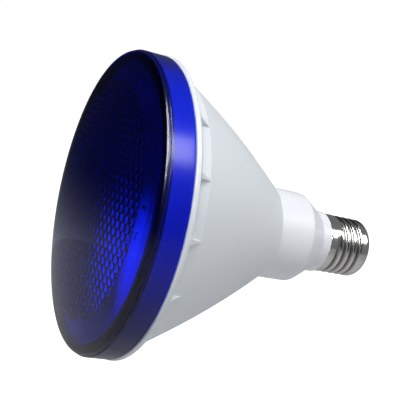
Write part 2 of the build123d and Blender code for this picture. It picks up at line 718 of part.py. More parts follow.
def driver_inductor():
    """Drum core with its winding between two flanges, standing on the board."""
    winding_radius = COIL_RADIUS - COIL_WINDING_DEPTH
    section = Polygon(
        (0.0, 0.0),
        (COIL_RADIUS, 0.0),
        (COIL_RADIUS, COIL_FLANGE),
        (winding_radius, COIL_FLANGE),
        (winding_radius, COIL_HEIGHT - COIL_FLANGE),
        (COIL_RADIUS, COIL_HEIGHT - COIL_FLANGE),
        (COIL_RADIUS, COIL_HEIGHT),
        (0.0, COIL_HEIGHT),
        align=None,
    )
    standing = Plane.XZ * section
    return Pos(COIL_OFFSET, COIL_PLACE, DRIVER_TOP) * revolve(standing, Axis.Z)


def flat_package(x, y, width, length, height, legs):
    """Moulded package on flat legs along both long sides."""
    body = block(
        (x - width / 2, x + width / 2),
        (y - length / 2, y + length / 2),
        (DRIVER_TOP + STANDOFF, DRIVER_TOP + height),
    )
    reach = width / 2 + LEG_REACH
    for i in range(legs):
        leg = y + length * ((i + 0.5) / legs - 0.5)
        body += block(
            (x - reach, x + reach),
            (leg - LEG_WIDTH / 2, leg + LEG_WIDTH / 2),
            (DRIVER_TOP, DRIVER_TOP + LEG_THICKNESS),
        )
    return body


def bridge_rectifier():
    return flat_package(BRIDGE_OFFSET, BRIDGE_PLACE, BRIDGE_WIDTH, BRIDGE_LENGTH, BRIDGE_HEIGHT, BRIDGE_LEGS)


def driver_chip():
    return flat_package(CHIP_OFFSET, CHIP_PLACE, CHIP_WIDTH, CHIP_LENGTH, CHIP_HEIGHT, CHIP_LEGS)


def fuse_resistor():
    """Axial resistor lying across the board, its two leads bent down to it."""
    z = DRIVER_TOP + FUSE_LIFT + FUSE_RADIUS
    left = CAN_OFFSET - FUSE_LENGTH / 2
    right = CAN_OFFSET + FUSE_LENGTH / 2
    body = extrude(Plane(origin=(left, FUSE_PLACE, z), z_dir=(1, 0, 0)) * Circle(FUSE_RADIUS), FUSE_LENGTH)
    for start, end in ((left, left - PIN_REACH), (right, right + PIN_REACH)):
        corners = ((start, FUSE_PLACE, z), (end, FUSE_PLACE, z), (end, FUSE_PLACE, DRIVER_TOP))
        body += lead_along(FilletPolyline(*corners, radius=PIN_BEND_RADIUS), PIN_RADIUS)
    return body


def light_lead(x):
    """Wire from the driver's front end, through the light board, to its soldered end."""
    pad = DRIVER_FRONT + LEAD_PAD_INSET
    corners = ((x, pad, DRIVER_TOP), (x, pad, 0.0), (x, BOARD_FRONT - LEAD_PROUD, 0.0))
    return lead_along(FilletPolyline(*corners, radius=LEAD_BEND_RADIUS), LEAD_RADIUS)


def lead_positive():
    return light_lead(LEAD_SPREAD)


def lead_negative():
    return light_lead(-LEAD_SPREAD)


def live_lead():
    """Wire from the driver's rear end to the stem of the centre contact."""
    corners = (
        (LEAD_SPREAD, LEAD_PAD_REAR, DRIVER_TOP),
        (LEAD_SPREAD, LEAD_PAD_REAR, 0.0),
        (0.0, RING_START, 0.0),
        (0.0, INSULATOR_TOP - CONTACT_STEM_LENGTH, 0.0),
    )
    return lead_along(FilletPolyline(*corners, radius=LEAD_BEND_RADIUS), LEAD_RADIUS)


def neutral_lead():
    """Wire from the driver's rear end, over the neck's spigot, to a groove of the screw shell."""
    wall = SHELL_BORE_RADIUS - LEAD_WALL_GAP
    beside_bore = NECK_SPIGOT_BORE - LEAD_BEND_RADIUS - LEAD_RADIUS
    corners = (
        (-LEAD_SPREAD, LEAD_PAD_REAR, DRIVER_TOP),
        (-LEAD_SPREAD, LEAD_PAD_REAR, 0.0),
        (-beside_bore, 0.0, 0.0),
        (-beside_bore, WIRED_GROOVE, 0.0),
        (-wall, WIRED_GROOVE, 0.0),
    )
    return lead_along(FilletPolyline(*corners, radius=LEAD_BEND_RADIUS), LEAD_RADIUS)


PIECES = (
    lens_cover,
    seal_ring,
    housing,
    reflector,
    heat_sink,
    led_board,
    led_packages,
    board_screws,
    neck_screws,
    neck,
    screw_shell,
    cap_insulator,
    centre_contact,
    driver_board,
    fuse_resistor,
    input_capacitor,
    bridge_rectifier,
    bulk_capacitor,
    driver_chip,
    driver_inductor,
    output_capacitor,
    lead_positive,
    lead_negative,
    live_lead,
    neutral_lead,
)

os.makedirs("parts", exist_ok=True)
for piece in PIECES:
    export_step(piece(), f"parts/{piece.__name__}.step")
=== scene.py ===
"""Looks of the spotlight lamp: blue lens, threaded nickel shell, finishes, studio and camera.

The lamp's axis is Y and its lens looks along -Y. Lengths are metres unless a heading says
millimetres.
"""

import bpy
import numpy as np
from mathutils import Matrix, Vector


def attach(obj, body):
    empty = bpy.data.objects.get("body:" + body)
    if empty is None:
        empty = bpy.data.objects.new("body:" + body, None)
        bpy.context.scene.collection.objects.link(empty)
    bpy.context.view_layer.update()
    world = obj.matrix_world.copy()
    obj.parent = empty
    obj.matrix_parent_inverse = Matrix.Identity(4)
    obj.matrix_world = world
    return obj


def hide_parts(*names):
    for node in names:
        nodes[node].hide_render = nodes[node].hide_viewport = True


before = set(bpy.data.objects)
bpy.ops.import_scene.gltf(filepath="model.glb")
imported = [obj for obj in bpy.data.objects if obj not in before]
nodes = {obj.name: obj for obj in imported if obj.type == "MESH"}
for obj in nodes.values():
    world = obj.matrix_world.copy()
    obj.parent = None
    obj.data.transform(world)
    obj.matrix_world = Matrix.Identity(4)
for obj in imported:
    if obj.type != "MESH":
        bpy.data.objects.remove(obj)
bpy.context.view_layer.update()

MM = 0.001

# Lens cover, in millimetres; a pair is a radius and a height along the axis
BAND_FRONT = (60.95, -101.3)
BAND_REAR = (61.05, -92.0)
BAND_EDGE = 0.35
RIM_CENTRE = (58.3, -101.45)
RIM_ROUND = 2.2
DOME_RADIUS = 225.0
DOME_CENTRE = RIM_CENTRE[1] + np.sqrt((DOME_RADIUS - RIM_ROUND) ** 2 - RIM_CENTRE[0] ** 2)
DOME_EDGE_ANGLE = np.arcsin(RIM_CENTRE[0] / (DOME_RADIUS - RIM_ROUND))
LENS_WALL = 2.4
FIELD_RADIUS = 47.0
FIELD_STEP = 0.2
FIELD_EDGE = 0.1
SEAT_BORE = 55.9

# Dimples on the inside of the lens, in millimetres; the origin is an x and a z
DIMPLE_PITCH = 3.335
DIMPLE_ROUND = 3.3
DIMPLE_ORIGIN = (20.95, -2.03)

# Points along each stretch of the lens, and the fold in radians past which its edges stay sharp
CROWN_POINTS = 60
RIM_POINTS = 20
EDGE_POINTS = 8
BAND_POINTS = 8
SKIRT_POINTS = 6
SEAT_POINTS = 4
ANNULUS_POINTS = 12
FIELD_CELLS = 240
RING_SPAN = 4
LENS_CREASE = 0.6

# Screw shell, in millimetres, with the nose's sweep in degrees
CREST = 13.2
THREAD_DEPTH = 1.1
THREAD_PITCH = 3.629
THREAD_START = 4.8
THREAD_START_ANGLE = np.radians(40.0)
THREAD_TURNS = 4.0
THREAD_RUN_IN = 0.16
MOUTH_LENGTH = 1.2
NOSE_START = 19.816
NOSE_ROUND = 3.104
NOSE_SWEEP = 104.86
SHELL_WALL = 0.35
PRICK_COUNT = 12
PRICK_ANGLE = np.radians(-8.5)
PRICK_HEIGHT = 0.45
PRICK_SIZE = 0.36
PRICK_DEPTH = 0.5

# Points round and along the shell, and the fold in radians past which its edges stay sharp
SHELL_STEPS = 200
MOUTH_POINTS = 8
SIDE_POINTS = 112
NOSE_POINTS = 16
SHELL_CREASE = 1.2


class Signal:
    """An output socket of a node tree; arithmetic on signals adds Math nodes."""

    def __init__(self, sheet, socket):
        self.sheet = sheet
        self.socket = socket

    def math(self, operation, *values):
        return self.sheet.node("Math", {"operation": operation}, dict(enumerate(values)))

    def __add__(self, other):
        return self.math("ADD", self, other)

    def __radd__(self, other):
        return self.math("ADD", other, self)

    def __sub__(self, other):
        return self.math("SUBTRACT", self, other)

    def __rsub__(self, other):
        return self.math("SUBTRACT", other, self)

    def __mul__(self, other):
        return self.math("MULTIPLY", self, other)

    def __rmul__(self, other):
        return self.math("MULTIPLY", other, self)

    def __truediv__(self, other):
        return self.math("DIVIDE", self, other)

    def __rtruediv__(self, other):
        return self.math("DIVIDE", other, self)

    def __pow__(self, other):
        return self.math("POWER", self, other)

    def __rpow__(self, other):
        return self.math("POWER", other, self)

    def __gt__(self, other):
        return self.math("GREATER_THAN", self, other)

    def __lt__(self, other):
        return self.math("LESS_THAN", self, other)

    def __or__(self, other):
        return self.math("MAXIMUM", self, other)

    def __ror__(self, other):
        return self.math("MAXIMUM", other, self)


class Sheet:
    """A node tree that one method fills."""

    def __init__(self, owner):
        owner.use_nodes = True
        self.tree = owner.node_tree
        self.tree.nodes.clear()

    def node(self, kind, settings=None, inputs=None, output=0):
        """Adds a node: its settings are set first, then each input takes a value or a signal."""
        made = self.tree.nodes.new("ShaderNode" + kind)
        for key, value in (settings or {}).items():
            setattr(made, key, value)
        for key, value in (inputs or {}).items():
            if isinstance(value, Signal):
                self.tree.links.new(value.socket, made.inputs[key])
            else:
                made.inputs[key].default_value = value
        return Signal(self, made.outputs[output] if made.outputs else None)

    def place(self):
        """Object coordinates, in metres."""
        return self.node("TexCoord", output="Object")

    def along(self, place, axis):
        """One coordinate of a place."""
        return self.node("SeparateXYZ", None, {0: place}, axis)

    def distance_from_axis(self, place):
        """Distance from the lamp's axis, in metres."""
        flat = self.node("VectorMath", {"operation": "MULTIPLY"}, {0: place, 1: (1.0, 0.0, 1.0)})
        return self.node("VectorMath", {"operation": "LENGTH"}, {0: flat}, "Value")

    def ray(self, kind):
        """A fact about the light path, such as Is Camera Ray."""
        return self.node("LightPath", output=kind)

    def clamp(self, value):
        """The value, held between 0 and 1."""
        return self.node("Clamp", None, {0: value})

    def noise(self, place, scale, detail=2.0, rough=0.5):
        """Soft noise from 0 to 1."""
        values = {"Vector": place, "Scale": scale, "Detail": detail, "Roughness": rough}
        return self.node("TexNoise", None, values, "Fac")

    def rolled_lines(self, place):
        """Noise drawn out into fine lines round the lamp's axis."""
        drawn = self.node("Mapping", None, {"Vector": place, "Scale": (60.0, 5200.0, 60.0)})
        return self.noise(drawn, scale=1.0)

    def blend(self, factor, first, second):
        """Colour between two colours."""
        return self.node("Mix", {"data_type": "RGBA"}, {0: factor, 6: first, 7: second}, 2)

    def mix(self, factor, first, second):
        """Shader between two shaders."""
        return self.node("MixShader", None, {0: factor, 1: first, 2: second})

    def bump(self, height, strength, distance):
        """Normal that follows a height."""
        values = {"Height": height, "Strength": strength, "Distance": distance}
        return self.node("Bump", None, values)

    def principled(self, **values):
        """Principled shader; underscores in names stand for spaces."""
        inputs = {key.replace("_", " "): value for key, value in values.items()}
        return self.node("BsdfPrincipled", None, inputs)

    def surface(self, shader, volume=None):
        links = {"Surface": shader}
        if volume is not None:
            links["Volume"] = volume
        self.node("OutputMaterial", None, links)

    def metal(self, colour, rough, normal):
        """Surface of bare or plated metal."""
        self.surface(
            self.principled(Base_Color=colour, Metallic=1.0, Roughness=rough, Normal=normal)
        )


def rgb(red, green, blue):
    return (red, green, blue, 1.0)


def new_finish(name):
    material = bpy.data.materials.new(name)
    return material, Sheet(material)


BLACK = rgb(0.0, 0.0, 0.0)
WHITE = rgb(1.0, 1.0, 1.0)
SPECK_COLOUR = rgb(0.32, 0.31, 0.3)

# Blue plastic: where its satin band starts, its body's tint, and the light that dome and band let in
SATIN_START = -0.1028
SATIN_FADE = 0.0002
LENS_TINT = rgb(0.054, 0.45, 0.96)
LENS_DENSITY = 1300.0
LENS_IOR = 1.49
DOME_PASSES = rgb(0.34, 0.34, 0.36)
BAND_PASSES = rgb(0.94, 0.94, 0.96)

# Nickel: the grooves' radius, and the rise in radius over which their painted shade turns to bright
# nickel
GROOVE_RADIUS = (CREST - THREAD_DEPTH) * MM
CREST_FADE = 0.0009
# Painted shade: a dark colour laid in the thread's grooves, where the hollows would be shaded
GROOVE_SHADE = rgb(0.16, 0.15, 0.14)


def moulded_white(name, light, dark, roughness, grain):
    """White moulded plastic: faint clouding, sparse specks, and a fine satin grain."""
    material, sheet = new_finish(name)
    place = sheet.place()
    cloud = sheet.noise(place, scale=28.0, detail=3.0)
    speck = sheet.noise(place, scale=900.0, detail=1.0) > 0.77
    colour = sheet.blend(cloud, dark, light)
    colour = sheet.blend(speck * 0.35, colour, SPECK_COLOUR)
    fine = sheet.noise(place, scale=2600.0)
    sheen = sheet.noise(place, scale=60.0)
    rough = roughness + 0.1 * (sheen - 0.5) + 0.06 * (fine - 0.5)
    normal = sheet.bump(fine, strength=grain, distance=0.00008)
    sheet.surface(sheet.principled(Base_Color=colour, Roughness=rough, IOR=1.5, Normal=normal))
    return material


def blue_plastic(name):
    """Clear blue plastic that takes up red and green along the way and lets lamp light in.

    The dome is polished, with faint scuffs; the band behind the rim has a fine satin grain.
    """
    material, sheet = new_finish(name)
    place = sheet.place()
    satin = sheet.clamp((sheet.along(place, "Y") - SATIN_START) / SATIN_FADE)
    scuff = sheet.noise(place, scale=70.0, detail=5.0, rough=0.65)
    grain = sheet.noise(place, scale=2400.0)
    body = sheet.principled(
        Base_Color=WHITE,
        Roughness=0.01 + 0.03 * scuff**2.0 + satin * (0.17 + 0.06 * grain),
        IOR=LENS_IOR,
        Transmission_Weight=1.0,
        Normal=sheet.bump(satin * grain, strength=0.05, distance=0.00005),
    )
    deep = sheet.node("BsdfTransparent", None, {"Color": DOME_PASSES})
    clear = sheet.node("BsdfTransparent", None, {"Color": BAND_PASSES})
    shader = sheet.mix(sheet.ray("Is Shadow Ray"), body, sheet.mix(satin, deep, clear))
    tint = {"Color": LENS_TINT, "Density": LENS_DENSITY}
    sheet.surface(shader, sheet.node("VolumeAbsorption", None, tint))
    return material


def plated(name, light, dark, roughness):
    """Plated metal with faint lines round the lamp's axis and dull patches."""
    material, sheet = new_finish(name)
    place = sheet.place()
    lines = sheet.rolled_lines(place)
    patch = sheet.noise(place, scale=160.0, detail=3.0)
    rough = roughness + 0.1 * (patch - 0.5) + 0.06 * (lines - 0.5)
    normal = sheet.bump(lines, strength=0.05, distance=0.00005)
    sheet.metal(sheet.blend(patch, dark, light), rough, normal)
    return material


def nickel(name):
    """Nickel plate, bright on the thread's crests, with painted shade darkening its grooves, and
    rolling lines.
    """
    material, sheet = new_finish(name)
    place = sheet.place()
    crest = sheet.clamp((sheet.distance_from_axis(place) - GROOVE_RADIUS) / CREST_FADE)
    patch = sheet.noise(place, scale=160.0, detail=3.0)
    bright = sheet.blend(patch, rgb(0.8, 0.78, 0.75), rgb(0.9, 0.88, 0.85))
    rough = 0.34 - 0.18 * crest + 0.08 * (patch - 0.5)
    normal = sheet.bump(sheet.rolled_lines(place), strength=0.012, distance=0.00005)
    # Painted shade: the grooves take a dark colour, and the crests keep the bright nickel
    sheet.metal(sheet.blend(crest, GROOVE_SHADE, bright), rough, normal)
    return material


def spun_aluminium(name):
    """Aluminium with turning lines at each distance from the axis."""
    material, sheet = new_finish(name)
    place = sheet.place()
    radius = sheet.node("CombineXYZ", None, {0: sheet.distance_from_axis(place)})
    rings = sheet.noise(radius, scale=3500.0)
    patch = sheet.noise(place, scale=45.0, detail=3.0)
    colour = sheet.blend(patch, rgb(0.6, 0.61, 0.62), rgb(0.76, 0.77, 0.78))
    normal = sheet.bump(rings, strength=0.12, distance=0.00006)
    sheet.metal(colour, 0.3 + 0.2 * rings, normal)
    return material


def zinc_steel(name):
    """Zinc-plated steel with a mottled bluish tone."""
    material, sheet = new_finish(name)
    place = sheet.place()
    patch = sheet.noise(place, scale=900.0, detail=3.0)
    colour = sheet.blend(patch, rgb(0.48, 0.5, 0.53), rgb(0.68, 0.68, 0.66))
    normal = sheet.bump(sheet.noise(place, scale=3000.0), strength=0.1, distance=0.00005)
    sheet.metal(colour, 0.25 + 0.2 * patch, normal)
    return material


def board_mask(name, light, dark, roughness):
    """Circuit board under its lacquer, with the weave of the board showing faintly."""
    material, sheet = new_finish(name)
    place = sheet.place()
    cloud = sheet.noise(place, scale=70.0, detail=3.0)
    weave = sheet.node(
        "TexWave",
        {"wave_type": "BANDS", "bands_direction": "DIAGONAL"},
        {"Vector": place, "Scale": 420.0, "Distortion": 1.5},
        "Fac",
    )
    colour = sheet.blend(0.6 * cloud + 0.4 * weave, dark, light)
    rough = roughness + 0.1 * cloud
    normal = sheet.bump(weave, strength=0.05, distance=0.00004)
    sheet.surface(sheet.principled(Base_Color=colour, Roughness=rough, Normal=normal))
    return material


def moulded(name, light, dark, roughness, scale, grain):
    """Coloured plastic, rubber, ceramic or phosphor with clouding and a fine grain."""
    material, sheet = new_finish(name)
    place = sheet.place()
    cloud = sheet.noise(place, scale=scale, detail=3.0)
    fine = sheet.noise(place, scale=12.0 * scale)
    colour = sheet.blend(cloud, dark, light)
    rough = roughness + 0.12 * (cloud - 0.5)
    normal = sheet.bump(fine, strength=grain, distance=0.00006)
    sheet.surface(sheet.principled(Base_Color=colour, Roughness=rough, Normal=normal))
    return material


def can_sleeve(name):
    """Shrunk sleeve of an electrolytic can."""
    return moulded(name, rgb(0.03, 0.035, 0.06), rgb(0.02, 0.022, 0.04), 0.28, 150.0, 0.05)


def red_jacket(name):
    """Red jacket of a lead."""
    return moulded(name, rgb(0.55, 0.04, 0.03), rgb(0.45, 0.025, 0.02), 0.35, 250.0, 0.05)


def black_jacket(name):
    """Black jacket of a lead."""
    return moulded(name, rgb(0.03, 0.03, 0.03), rgb(0.015, 0.015, 0.015), 0.35, 250.0, 0.05)


def mesh_piece(name, points, faces, finish, node, crease):
    """New piece from points in millimetres and arrays of faces, in the place of a CAD node.

    Edges that fold by more than crease radians stay sharp.
    """
    mesh = bpy.data.meshes.new(name)
    points = np.asarray(points, np.float32) * MM
    corners = np.concatenate([group.ravel() for group in faces]).astype(np.int32)
    sizes = np.concatenate([np.full(len(group), group.shape[1]) for group in faces])
    starts = np.concatenate([[0], np.cumsum(sizes)[:-1]]).astype(np.int32)
    mesh.vertices.add(len(points))
    mesh.vertices.foreach_set("co", points.ravel())
    mesh.loops.add(len(corners))
    mesh.loops.foreach_set("vertex_index", corners)
    mesh.polygons.add(len(sizes))
    mesh.polygons.foreach_set("loop_start", starts)
    mesh.update(calc_edges=True)
    mesh.validate()
    mesh.polygons.foreach_set("use_smooth", np.ones(len(mesh.polygons), bool))
    mesh.set_sharp_from_angle(angle=crease)
    mesh.materials.append(finish)
    piece = bpy.data.objects.new(name, mesh)
    bpy.context.scene.collection.objects.link(piece)
    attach(piece, "root")
    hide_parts(node)


def arc(centre, radius, start, end, count):
    """Points of a circular arc between two angles, in degrees."""
    angles = np.radians(np.linspace(start, end, count))
    return np.stack([centre[0] + radius * np.cos(angles), centre[1] + radius * np.sin(angles)], 1)


def rounded_corner(before, corner, after, radius, count):
    """Arc that rounds a corner.

    It touches both sides at the radius over the tangent of half their angle, and its points are
    spherical blends between the two touching points.
    """
    before, corner, after = (np.asarray(p, float) for p in (before, corner, after))
    first = (before - corner) / np.linalg.norm(before - corner)
    last = (after - corner) / np.linalg.norm(after - corner)
    half = np.arccos(first @ last) / 2
    centre = corner + (first + last) / np.linalg.norm(first + last) * radius / np.sin(half)
    start = corner + first * radius / np.tan(half) - centre
    end = corner + last * radius / np.tan(half) - centre
    weights = np.linspace(0.0, 1.0, count)[:, None]
    swing = np.pi - 2 * half
    fan = (np.sin((1 - weights) * swing) * start + np.sin(weights * swing) * end) / np.sin(swing)
    return centre + fan


def dome(radius, inset):
    """Height of the lens dome at a radius: a sphere about the dome's centre, set in by inset."""
    return DOME_CENTRE - np.sqrt((DOME_RADIUS - inset) ** 2 - radius**2)


def dimple_rise(x, z):
    """Rise of the nearest spherical dimple: the centres lie on a triangular lattice.

    Each row of the lattice is half a pitch off the last. The sphere's height is taken over its
    lowest corner.
    """
    row_pitch = DIMPLE_PITCH * np.sqrt(0.75)
    row = np.floor((z - DIMPLE_ORIGIN[1]) / row_pitch)
    nearest = np.full(x.shape, np.inf)
    for step in (0, 1):
        shift = DIMPLE_PITCH / 2 * np.mod(row + step, 2)
        along = x - DIMPLE_ORIGIN[0] - shift
        along = along - DIMPLE_PITCH * np.round(along / DIMPLE_PITCH)
        across = z - DIMPLE_ORIGIN[1] - (row + step) * row_pitch
        nearest = np.minimum(nearest, along**2 + across**2)
    return np.sqrt(DIMPLE_ROUND**2 - nearest) - np.sqrt(DIMPLE_ROUND**2 - DIMPLE_PITCH**2 / 3)


def lens_profile():
    """Section of the lens: from the apex over the rim, band, skirt and seat to the dimple field."""
    rim_foot = (RIM_CENTRE[0] + RIM_ROUND, BAND_FRONT[1])
    skirt_rear = (BAND_REAR[0] - LENS_WALL, BAND_REAR[1])
    skirt_front = (BAND_FRONT[0] - LENS_WALL, BAND_FRONT[1])
    seat_edge = (SEAT_BORE, BAND_FRONT[1])
    crown = np.linspace(0.0, DOME_RADIUS * np.sin(DOME_EDGE_ANGLE), CROWN_POINTS)[1:]
    annulus = np.linspace(SEAT_BORE, FIELD_RADIUS + FIELD_EDGE, ANNULUS_POINTS)
    rim_start = np.degrees(DOME_EDGE_ANGLE) - 90.0
    return np.concatenate(
        [
            np.stack([crown, dome(crown, 0.0)], 1),
            arc(RIM_CENTRE, RIM_ROUND, rim_start, 0.0, RIM_POINTS)[1:],
            [rim_foot],
            rounded_corner(rim_foot, BAND_FRONT, BAND_REAR, BAND_EDGE, EDGE_POINTS),
            np.linspace(BAND_FRONT, BAND_REAR, BAND_POINTS)[1:-1],
            rounded_corner(BAND_FRONT, BAND_REAR, skirt_rear, BAND_EDGE, EDGE_POINTS),
            np.linspace(skirt_rear, skirt_front, SKIRT_POINTS),
            np.linspace(skirt_front, seat_edge, SEAT_POINTS)[1:],
            np.stack([annulus, dome(annulus, LENS_WALL)], 1),
        ]
    )


def lens_cover(finish):
    """Closed lens: a section turned about the axis, and a dimpled disc inside it.

    The disc is a square grid mapped to a circle, x = u sqrt(1 - v v / 2) and
    z = v sqrt(1 - u u / 2), so that its rim is round; every fourth point of its rim meets a point
    of the turned section.
    """
    count = FIELD_CELLS + 1
    steps = np.linspace(-1.0, 1.0, count)
    u, v = np.meshgrid(steps, steps, indexing="ij")
    x = FIELD_RADIUS * u * np.sqrt(1 - v**2 / 2)
    z = FIELD_RADIUS * v * np.sqrt(1 - u**2 / 2)
    y = dome(np.hypot(x, z), LENS_WALL - FIELD_STEP) + dimple_rise(x, z)
    disc = np.stack([x, y, z], -1).reshape(-1, 3)
    index = np.arange(count * count).reshape(count, count)
    cells = [index[:-1, :-1], index[:-1, 1:], index[1:, 1:], index[1:, :-1]]
    disc_faces = np.stack(cells, -1).reshape(-1, 4)
    rim = np.concatenate([index[:-1, 0], index[-1, :-1], index[:0:-1, -1], index[0, :0:-1]])
    angles = np.arctan2(disc[rim, 2], disc[rim, 0])[::RING_SPAN]
    profile = lens_profile()
    turns = len(angles)
    rings = np.stack(
        [
            profile[:, None, 0] * np.cos(angles),
            np.repeat(profile[:, 1:2], turns, 1),
            profile[:, None, 0] * np.sin(angles),
        ],
        -1,
    ).reshape(-1, 3)
    apex = np.array([[0.0, dome(0.0, 0.0), 0.0]])
    points = np.concatenate([disc, rings, apex])
    ring = len(disc) + np.arange(len(profile) * turns).reshape(len(profile), turns)
    after = np.roll(ring, -1, 1)
    wall = np.stack([ring[:-1], ring[1:], after[1:], after[:-1]], -1).reshape(-1, 4)
    cap = np.stack([np.full(turns, len(points) - 1), ring[0], after[0]], -1)
    spans = rim.reshape(turns, RING_SPAN)
    span_ends = np.roll(spans[:, :1], -1, 0)
    seam = np.concatenate([spans, span_ends, after[-1][:, None], ring[-1][:, None]], 1)
    faces = [disc_faces, wall, cap, seam]
    mesh_piece("blue_lens", points, faces, finish, "lens_cover", LENS_CREASE)


def groove_depth(height, angle):
    """Depth of the thread's groove: equal arcs that meet at half depth, along a right-hand helix.

    The groove sinks in and dies out within a short stretch of turn at its two ends.
    """
    back = (angle - THREAD_START_ANGLE) / (2 * np.pi)
    phase = (height - THREAD_START) / THREAD_PITCH + back
    groove = np.round(phase)
    turn = groove - back
    offset = np.abs(phase - groove) * THREAD_PITCH
    bend = THREAD_PITCH**2 / (16 * THREAD_DEPTH) + THREAD_DEPTH / 4
    bottom = THREAD_DEPTH - bend + np.sqrt(np.maximum(bend**2 - offset**2, 0.0))
    top = bend - np.sqrt(np.maximum(bend**2 - (THREAD_PITCH / 2 - offset) ** 2, 0.0))
    depth = np.where(offset < THREAD_PITCH / 4, bottom, top)
    sinking = np.clip(turn / THREAD_RUN_IN, 0.0, 1.0)
    dying = np.clip((THREAD_TURNS - turn) / THREAD_RUN_IN, 0.0, 1.0)
    share = sinking * dying
    return depth * share**2 * (3 - 2 * share)


def prick_depth(height, angle):
    """Depth of the prick marks that hold the shell on the neck: round dents near its mouth."""
    pitch = 2 * np.pi / PRICK_COUNT
    offset = np.mod(angle - PRICK_ANGLE + pitch / 2, pitch) - pitch / 2
    spread = ((height - PRICK_HEIGHT) ** 2 + (CREST * offset) ** 2) / PRICK_SIZE**2
    return PRICK_DEPTH * np.exp(-spread)


def screw_shell(finish):
    """Thin threaded shell: the outer side runs from mouth to opening, and the inner side runs back.

    A point at height h and angle a has radius crest - groove(h, a) - prick(h, a); the nose is an
    arc that rolls in.
    """
    angles = np.linspace(0.0, 2 * np.pi, SHELL_STEPS, endpoint=False)
    mouth = np.linspace(0.0, MOUTH_LENGTH, MOUTH_POINTS, endpoint=False)
    heights = np.concatenate([mouth, np.linspace(MOUTH_LENGTH, NOSE_START, SIDE_POINTS)])
    side = np.repeat(heights[:, None], SHELL_STEPS, 1)
    outer = CREST - groove_depth(side, angles) - prick_depth(side, angles)
    inner = outer[::-1] - SHELL_WALL
    middle = (CREST - NOSE_ROUND, NOSE_START)
    nose = arc(middle, NOSE_ROUND, 0.0, NOSE_SWEEP, NOSE_POINTS)[1:]
    inner_nose = arc(middle, NOSE_ROUND - SHELL_WALL, NOSE_SWEEP, 0.0, NOSE_POINTS)[:-1]
    lap = np.ones((1, SHELL_STEPS))
    radius = np.concatenate([outer, nose[:, :1] * lap, inner_nose[:, :1] * lap, inner])
    height = np.concatenate([side, nose[:, 1:] * lap, inner_nose[:, 1:] * lap, side[::-1]])
    points = np.stack([radius * np.cos(angles), height, radius * np.sin(angles)], -1)
    points = points.reshape(-1, 3)
    index = np.arange(len(points)).reshape(radius.shape)
    ahead = np.roll(index, -1, 0)
    corners = [index, ahead, np.roll(ahead, -1, 1), np.roll(index, -1, 1)]
    faces = [np.stack(corners, -1).reshape(-1, 4)]
    mesh_piece("threaded_shell", points, faces, finish, "screw_shell", SHELL_CREASE)


FINISHES = {
    "seal_ring": moulded(
        "seal_rubber", rgb(0.03, 0.03, 0.033), rgb(0.018, 0.018, 0.02), 0.7, 120.0, 0.2
    ),
    "housing": moulded_white(
        "housing_white", rgb(0.83, 0.865, 0.9), rgb(0.8, 0.84, 0.875), 0.42, 0.1
    ),
    "reflector": plated("reflector_silver", rgb(0.92, 0.92, 0.93), rgb(0.87, 0.87, 0.88), 0.45),
    "heat_sink": spun_aluminium("sink_aluminium"),
    "led_board": board_mask("light_board_mask", rgb(0.75, 0.75, 0.74), rgb(0.7, 0.7, 0.69), 0.4),
    "led_packages": moulded(
        "phosphor", rgb(0.95, 0.9, 0.62), rgb(0.9, 0.84, 0.55), 0.5, 700.0, 0.1
    ),
    "board_screws": zinc_steel("board_screw_zinc"),
    "neck_screws": zinc_steel("neck_screw_zinc"),
    "neck": moulded_white("neck_white", rgb(0.87, 0.88, 0.92), rgb(0.84, 0.85, 0.9), 0.34, 0.06),
    "cap_insulator": moulded(
        "insulator_black", rgb(0.03, 0.03, 0.034), rgb(0.015, 0.015, 0.018), 0.2, 90.0, 0.05
    ),
    "centre_contact": plated("contact_tin", rgb(0.78, 0.77, 0.74), rgb(0.66, 0.65, 0.62), 0.28),
    "driver_board": board_mask(
        "driver_board_mask", rgb(0.05, 0.27, 0.12), rgb(0.03, 0.19, 0.08), 0.35
    ),
    "fuse_resistor": moulded(
        "resistor_coat", rgb(0.28, 0.46, 0.5), rgb(0.22, 0.38, 0.42), 0.5, 400.0, 0.15
    ),
    "input_capacitor": moulded(
        "film_case", rgb(0.78, 0.52, 0.07), rgb(0.68, 0.44, 0.05), 0.3, 200.0, 0.08
    ),
    "bridge_rectifier": moulded(
        "bridge_case", rgb(0.03, 0.03, 0.03), rgb(0.018, 0.018, 0.018), 0.55, 500.0, 0.3
    ),
    "bulk_capacitor": can_sleeve("bulk_sleeve"),
    "driver_chip": moulded(
        "chip_case", rgb(0.028, 0.028, 0.028), rgb(0.017, 0.017, 0.017), 0.55, 600.0, 0.3
    ),
    "driver_inductor": moulded(
        "ferrite", rgb(0.1, 0.1, 0.105), rgb(0.07, 0.07, 0.075), 0.6, 500.0, 0.3
    ),
    "output_capacitor": can_sleeve("output_sleeve"),
    "lead_positive": red_jacket("positive_jacket"),
    "lead_negative": black_jacket("negative_jacket"),
    "live_lead": red_jacket("live_jacket"),
    "neutral_lead": black_jacket("neutral_jacket"),
}
for node_name, finish in FINISHES.items():
    nodes[node_name].data.materials.clear()
    nodes[node_name].data.materials.append(finish)

lens_cover(blue_plastic("lens_blue"))
screw_shell(nickel("shell_nickel"))


# Floor: its colour, what polished surfaces see of it, and what reaches behind the lens
FLOOR_HEIGHT = -0.4
FLOOR_REACH = 12.0
FLOOR_COLOUR = rgb(0.82, 0.82, 0.82)
FLOOR_MIRRORED = rgb(0.5, 0.5, 0.51)
FLOOR_INSIDE = rgb(0.1, 0.1, 0.1)
MIRRORED_GLOW = 0.05

# World light on the lamp, and behind its lens
AMBIENT = rgb(0.27, 0.276, 0.288)
INNER_AMBIENT = rgb(0.08, 0.08, 0.085)

